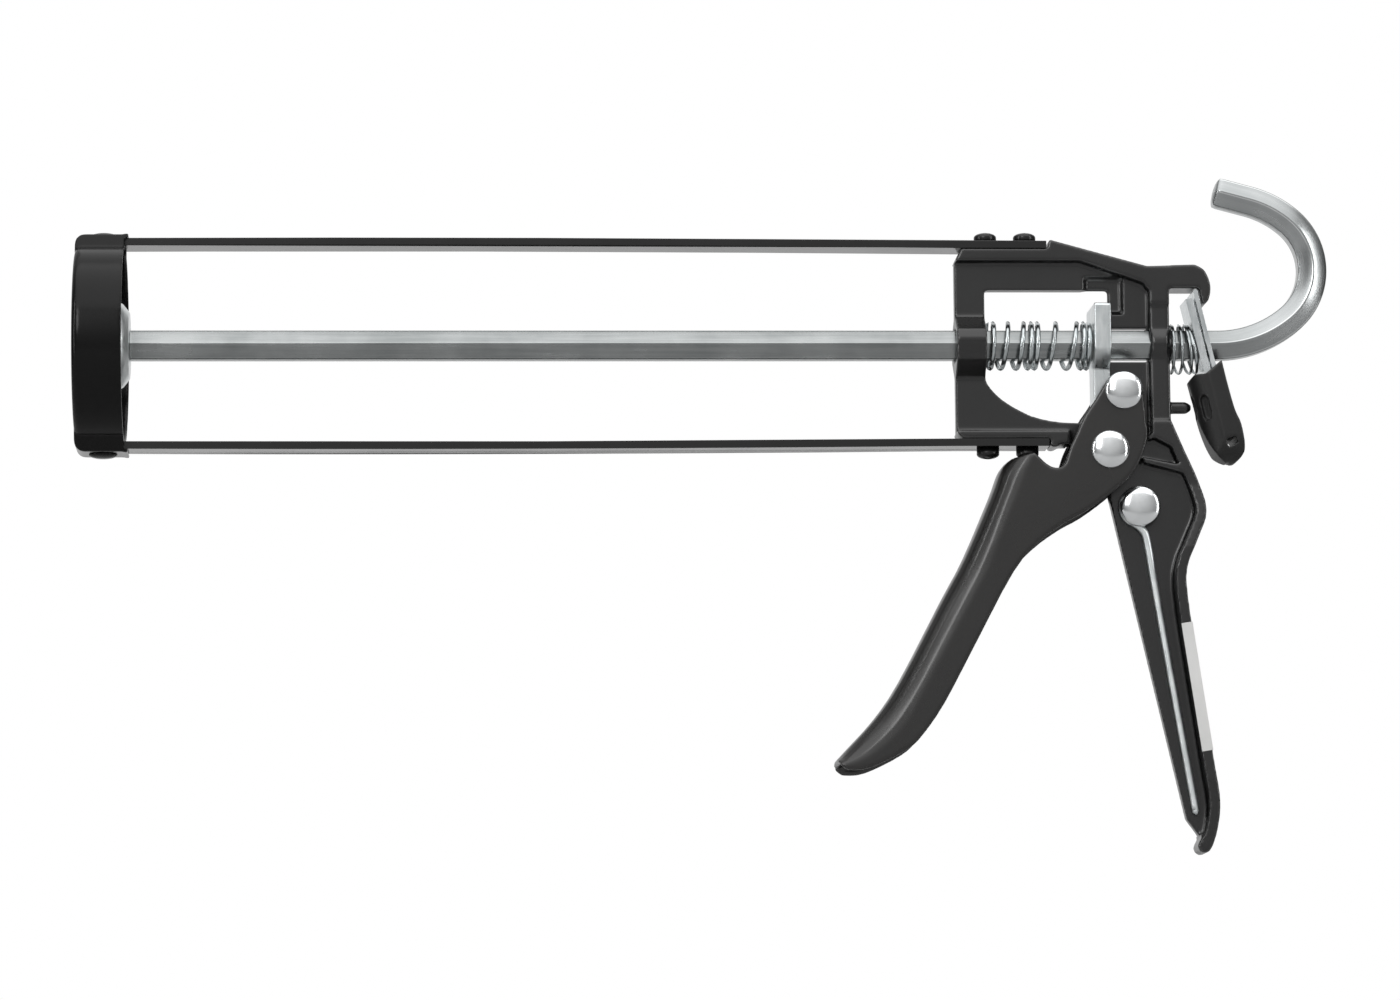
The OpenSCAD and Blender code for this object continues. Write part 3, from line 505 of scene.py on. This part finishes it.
screw_r, seat_z = 0.00285, 0.0262
screw = Shape("cross_screw", radius=screw_r, height=0.0027, rim=0.0015, shank=0.0015, depth=0.008,
              slot_length=0.0034, slot_width=0.0008, slot_depth=0.0013, turn=0.4, sides=40, rows=8)
long, narrow, deep = (screw.take("slot_" + way) for way in ("length", "width", "depth"))
arms = []
for x, y in ((long, narrow), (narrow, long)):
    arm = screw.node("GeometryNodeMeshCube", values={"Size": screw.joined(x, y, deep * 2)})
    arms.append(screw.node("GeometryNodeTransform", values={
        0: arm, "Translation": screw.joined(z=screw.take("height")),
        "Rotation": screw.joined(z=screw.take("turn"))}))
cut = screw.node("GeometryNodeMeshBoolean", {"operation": "DIFFERENCE"},
                 {0: turned_head(screw), 1: arms[0]})
screw.tree.links.new(arms[1].socket, cut.socket.node.inputs[1])  # cuts with both arms
stood(screw, cut)

screw_finish = black_paint("screw_black_oxide", shade=0.008, rough=0.3, grain=1500, edges=0.03)
for side, node, turn in ((1, "top_strap_screws", 0.5), (-1, "bottom_strap_screws", 0.95)):
    low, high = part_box(node)
    places = [(x, 0, side * seat_z) for x in (low.x + screw_r, high.x - screw_r)]
    screw.made(node + "_heads", places, [], screw_finish, "screw_black", node,
               facing=[(0, 0, side)] * 2, size=[(1, 1, 1)] * 2, turn=turn)


# Push rod: hexagonal drawn bar, zinc plated, bent up at its end into a hook. The drawing marks
# run along it, and handling has left dull and bright patches.

def zinc(name, dull, bright, rough, marks, patch=160, depth=0.00002, sides=0, polished=0.0):
    """Uneven plating: dull and bright patches, and marks stretched by three scales, or by two on
    a bar. A bar with sides has bright ridges, and gets brighter at the distance polished."""
    metal = Finish(name, Metallic=1.0)
    place = metal.along(*marks) if len(marks) == 2 else metal.stretched(*marks)
    lines = metal.noise(1, 4, place)
    cloud = metal.noise(patch)
    spots = metal.specks(500, 0.05)
    tone = metal.step(lines * 0.45 + cloud * 0.55, 0.38, 0.62)
    base = metal.blend(spots * 0.5, metal.blend(tone, dull, bright), [c * 0.5 for c in dull])
    ridge = 0
    if sides:
        bent = metal.step(metal.mark("run"), polished, polished + 0.02)
        off_middle = ((metal.mark("round") * sides).math("FRACT") - 0.5).math("ABSOLUTE")
        ridge = metal.step(off_middle, 0.45, 0.49) * (0.1 + 0.7 * bent)
        base = metal.blend(0.3 * bent, base, (0.72, 0.74, 0.75))
        base = metal.blend(ridge, base, (0.9, 0.92, 0.92))
    metal.feed("Base Color", base)
    metal.feed("Roughness", rough + 0.16 * (lines - 0.5) + 0.12 * (cloud - 0.5) - 0.1 * ridge)
    metal.bumps(lines + 0.5 * cloud, depth, 0.4)
    return metal


def keep_mark(shape, geometry, name, value):
    """Keeps the value on each point of a line, for the finish to read"""
    return shape.node("GeometryNodeStoreNamedAttribute", {"data_type": "FLOAT", "domain": "POINT"},
                      {0: geometry, "Name": name, "Value": value})


bar = Shape("drawn_bar", radius=0.001, sides=16, corner=0.0, corner_steps=1, tip=0.0005,
            resolution=8)
line = bar.node("GeometryNodeMeshToCurve", values={0: bar.take("Points")})
line = bar.node("GeometryNodeCurveSplineType", {"spline_type": "CATMULL_ROM"}, {0: line})
line = bar.node("GeometryNodeSetSplineResolution",
                values={0: line, "Resolution": bar.take("resolution")})
line = bar.node("GeometryNodeResampleCurve", {"mode": "EVALUATED"}, {0: line})
line = bar.node("GeometryNodeSetCurveNormal", {"mode": "FREE"},
                {0: line, "Normal": bar.joined(y=1.0)})
passed = bar.node("GeometryNodeSplineParameter", out="Length")
line = keep_mark(bar, line, "run", passed)
whole = bar.node("GeometryNodeSplineLength", out="Length")
from_end = ((whole - passed) / bar.take("tip")).math("MINIMUM", 1)
rounded_end = (1 - (1 - from_end) * (1 - from_end) * 0.97).math("SQRT")
profile = bar.node("GeometryNodeCurvePrimitiveCircle", {"mode": "RADIUS"},
                   {"Resolution": bar.take("sides"), "Radius": bar.take("radius")})
profile = bar.node("GeometryNodeFilletCurve", {"mode": "POLY"},
                   {"Curve": profile, "Count": bar.take("corner_steps"),
                    "Radius": bar.take("corner"), "Limit Radius": True})
turned = bar.node("GeometryNodeSplineParameter", out="Factor")
profile = keep_mark(bar, profile, "round", turned)
bar.done(bar.node("GeometryNodeCurveToMesh", values={
    0: line, "Profile Curve": profile, "Scale": rounded_end, "Fill Caps": True}))


def turns(start_x, bends, step=0.0009):
    """Points along a bar that runs towards +X and is then bent up by arcs, each given as radius
    and degrees. Radius 0 is a straight run, given as its length."""
    points = [Vector((start_x, 0, 0))]
    heading = 0
    for radius, amount in bends:
        length = radius * math.radians(amount) if radius else amount
        count = max(int(length / step), 1)
        for _ in range(count):
            bend = math.radians(amount) / count if radius else 0
            chord = 2 * radius * math.sin(bend / 2) if radius else length / count
            heading += bend / 2
            points.append(points[-1] + chord * Vector((math.cos(heading), 0, math.sin(heading))))
            heading += bend / 2
    return points


def chain(points):
    return [(k, k + 1) for k in range(len(points) - 1)]


rod_zinc = zinc("rod_zinc", dull=(0.26, 0.275, 0.275), bright=(0.4, 0.415, 0.415), rough=0.25,
                marks=(22, 16), patch=60, depth=0.00001, sides=6, polished=0.27)
flats = 0.0073
front_x, full_x, bend_x, stretches = 0.01365, 0.0147, 0.2881, 60
route = [Vector((front_x, 0, 0))]
route += [Vector((full_x + (bend_x - full_x) * k / stretches, 0, 0)) for k in range(stretches)]
route += turns(bend_x, [(0.0291, 40), (0.0164, 100), (0.026, 25), (0, 0.0085)])
end_way = (route[-1] - route[-2]).normalized()
route += [route[-1] + end_way * far for far in (0.0003, 0.0006, 0.0008)]
bar.made("rod_bar", route, chain(route), rod_zinc, "zinc_rod", "push_rod",
         radius=flats / math.sqrt(3), sides=6, corner=0.0006, corner_steps=3, tip=0.0011,
         resolution=1)
rivet.made("rod_end", [(0.011, 0, 0)], [], rod_zinc, "zinc_rod", "push_rod",
           facing=[(-1, 0, 0)], size=[(1, 1, 1)],
           radius=0.004, height=0.0013, rim=0.0002, shank=0.003, depth=0.0036)


# Piston: dished zinc-plated pressing, with its washer, riveted on the rod's front end. It
# pushes the cartridge's plunger.

sheet_zinc = zinc("sheet_zinc", dull=(0.7, 0.73, 0.73), bright=(0.86, 0.89, 0.89), rough=0.32,
                  marks=(120, 120, 120), depth=0.00001)
dressed("piston_plate", sheet_zinc, width=0.0003, segments=3, angle=20)
dressed("piston_washer", sheet_zinc, width=0.0002)


# Drive plate: thick stamped steel, zinc plated. The punch leaves its edges rounded on one side
# and drags lines through the thickness.

plate_zinc = zinc("plate_zinc", dull=(0.66, 0.7, 0.71), bright=(0.86, 0.89, 0.89), rough=0.3,
                  marks=(1200, 500, 160))
dressed("drive_plate", plate_zinc, width=0.0005, segments=3)


# Release: a lever of pressed sheet, which hooks under the hood, and the lock plate in front of it
# that bites into the rod. Both are zinc plated.

lever_zinc = zinc("lever_zinc", dull=(0.58, 0.62, 0.63), bright=(0.84, 0.87, 0.88), rough=0.26,
                  marks=(500, 500, 90))
dressed("release_lever", lever_zinc, width=0.00035, segments=3)
dressed("lock_plate", lever_zinc, width=0.0003, segments=3)


# Springs: coils of round drawn wire. The main spring stands between the frame and the drive plate,
# the release spring between the column and the lock plate.

def coil(start, end, lean, radius, sag, rest, steps=28):
    """Points along a coil about X. Rest gives the share of its length at each turn, lean the
    slope of the plate that it meets, and sag how far it hangs below the rod's axis."""
    points = []
    for k in range((len(rest) - 1) * steps + 1):
        turn = min(k // steps, len(rest) - 2)
        share = rest[turn] + (rest[turn + 1] - rest[turn]) * (k / steps - turn)
        angle = math.tau * k / steps
        x = start + share * (end - start - lean * radius * math.cos(angle))
        points.append(Vector((x, radius * math.sin(angle), radius * math.cos(angle) - sag)))
    return points


spring_metal = zinc("spring_metal", dull=(0.3, 0.315, 0.32), bright=(0.72, 0.77, 0.78), rough=0.2,
                    marks=(300, 9))
frame_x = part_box("frame_casting")[0].x
loops = coil(frame_x + 0.00825, frame_x + 0.03405, lean=0, radius=0.0058, sag=0,
             rest=[0, 0.06, 0.21, 0.365, 0.435, 0.495, 0.68, 0.89, 0.95, 1])
main_coil = bar.made("main_coil", loops, chain(loops), spring_metal, "spring_wire", "main_spring",
                     radius=0.0006, sides=14, tip=0.0002, resolution=2)
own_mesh(main_coil)
loops = coil(frame_x + 0.054625, frame_x + 0.0603, lean=math.tan(math.radians(13)),
             radius=0.006125, sag=0.0009, rest=[0, 0.115, 0.56, 0.875, 1])
release_coil = bar.made("release_coil", loops, chain(loops), spring_metal, "spring_wire",
                        "release_spring", radius=0.000375, sides=12, tip=0.00015, resolution=2)
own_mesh(release_coil)


# Trigger: pressed steel channel, painted satin black. Rivets with domed heads join it to the frame
# and carry the tube that pushes the drive plate's stem.

# edges is how pale the painted highlight along the trigger's edges is.
trigger_paint = black_paint("trigger_black_paint", shade=0.0065, rough=0.28, grain=800,
                            tint=(1.1, 1, 0.92), gloss=0.8, edges=0.03)
cast("trigger", trigger_paint, grid=0.00042, passes=4, reach=0.00008)

rivet_metal = zinc("rivet_metal", dull=(0.86, 0.88, 0.89), bright=(0.96, 0.98, 0.99), rough=0.15,
                   marks=(300, 300, 300), depth=0.000006)
head_r, head_h = 0.0048, 0.002
for node, shank in (("pivot_rivet", 0.0025), ("drive_rivet", 0.002)):
    low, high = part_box(node)
    cheek = high.y - head_h
    x, z = high.x - head_r, (low.z + high.z) / 2
    rivet.made(node + "_heads", [(x, -cheek, z), (x, cheek, z)], [], rivet_metal, "bright_rivet",
               node, facing=[(0, -1, 0), (0, 1, 0)], size=[(1, 1, 1)] * 2,
               radius=head_r, height=head_h, rim=0.0004, shank=shank, depth=cheek)
dressed("drive_spacer", sheet_zinc, width=0.0001)


# Seal wire: bright zinc-plated wire, hooked round its rivet in the handle. Its point opens
# cartridges.

seal_metal = zinc("seal_metal", dull=(0.68, 0.72, 0.73), bright=(0.94, 0.97, 0.97), rough=0.38,
                  marks=(60, 9))
wire_y = sum(corner.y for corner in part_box("puncture_wire")) / 2
low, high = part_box("puncture_rivet")
pin = Vector(((low.x + high.x) / 2, wire_y, (low.z + high.z) / 2))
eye_r, length = 0.00438, 0.0786
down = Vector((12.9, 0, -77.1)).normalized()
out_of_eye = [(0.0464, -0.0472), (0.0476, -0.0499), (0.0493, -0.0605)]
wire = [pin + eye_r * Vector((math.cos(math.radians(a)), 0, math.sin(math.radians(a))))
        for a in range(70, 251, 15)]
wire += [Vector((frame_x + x, pin.y, z)) for x, z in out_of_eye]
wire += [pin + down * (length - short) for short in
         (0.0386, 0.0186, 0.002, 0.001, 0.0005, 0.0002, 0)]
bar.made("seal_pin", wire, chain(wire), seal_metal, "bright_wire", "puncture_wire",
         radius=0.001, sides=16, tip=0.0008, resolution=6)
head_h, far_size = 0.002, (0.874, 0.874, 0.5)
rivet.made("seal_rivet_head",
           [(pin.x, low.y + head_h, pin.z), (pin.x, high.y - head_h * far_size[2], pin.z)], [],
           rivet_metal, "bright_rivet", "puncture_rivet",
           facing=[(0, -1, 0), (0, 1, 0)], size=[(1, 1, 1), far_size],
           radius=0.00515, height=head_h, rim=0.0004, shank=0.0033, depth=0.0032)


# Thumb cap: matt black plastic, moulded with a rounded end, which slides over the lever. The
# thumb pushes it forward to let the rod go.

# edges is how pale the painted highlight along the cap's edges is.
cap_plastic = black_paint("cap_plastic", shade=0.012, rough=0.45, grain=1600, gloss=0.45,
                          edges=0.05, dust=0.05)
cast("thumb_cap", cap_plastic, grid=0.00026, passes=5, reach=0.00004)


# Label: a blank satin film, stuck round the handle's rear flange and slightly wrinkled. Hands
# have left it unevenly grey.

label_film = Finish("label_film", Metallic=0.0, Coat_Weight=0.1, Coat_Roughness=0.25)
tone = label_film.noise(60, 4)
creases = label_film.noise(1, 3, label_film.stretched(260, 260, 90))
grime = label_film.step(tone, 0.3, 0.7)
label_film.feed("Base Color", label_film.blend(grime, (0.68, 0.68, 0.665), (0.8, 0.8, 0.79)))
label_film.feed("Roughness", 0.4 + 0.12 * (tone - 0.5))
label_film.bumps(creases + 0.2 * label_film.noise(1500, 2), 0.00012, 0.7)
dressed("handle_label", label_film, width=0.00005, segments=1)
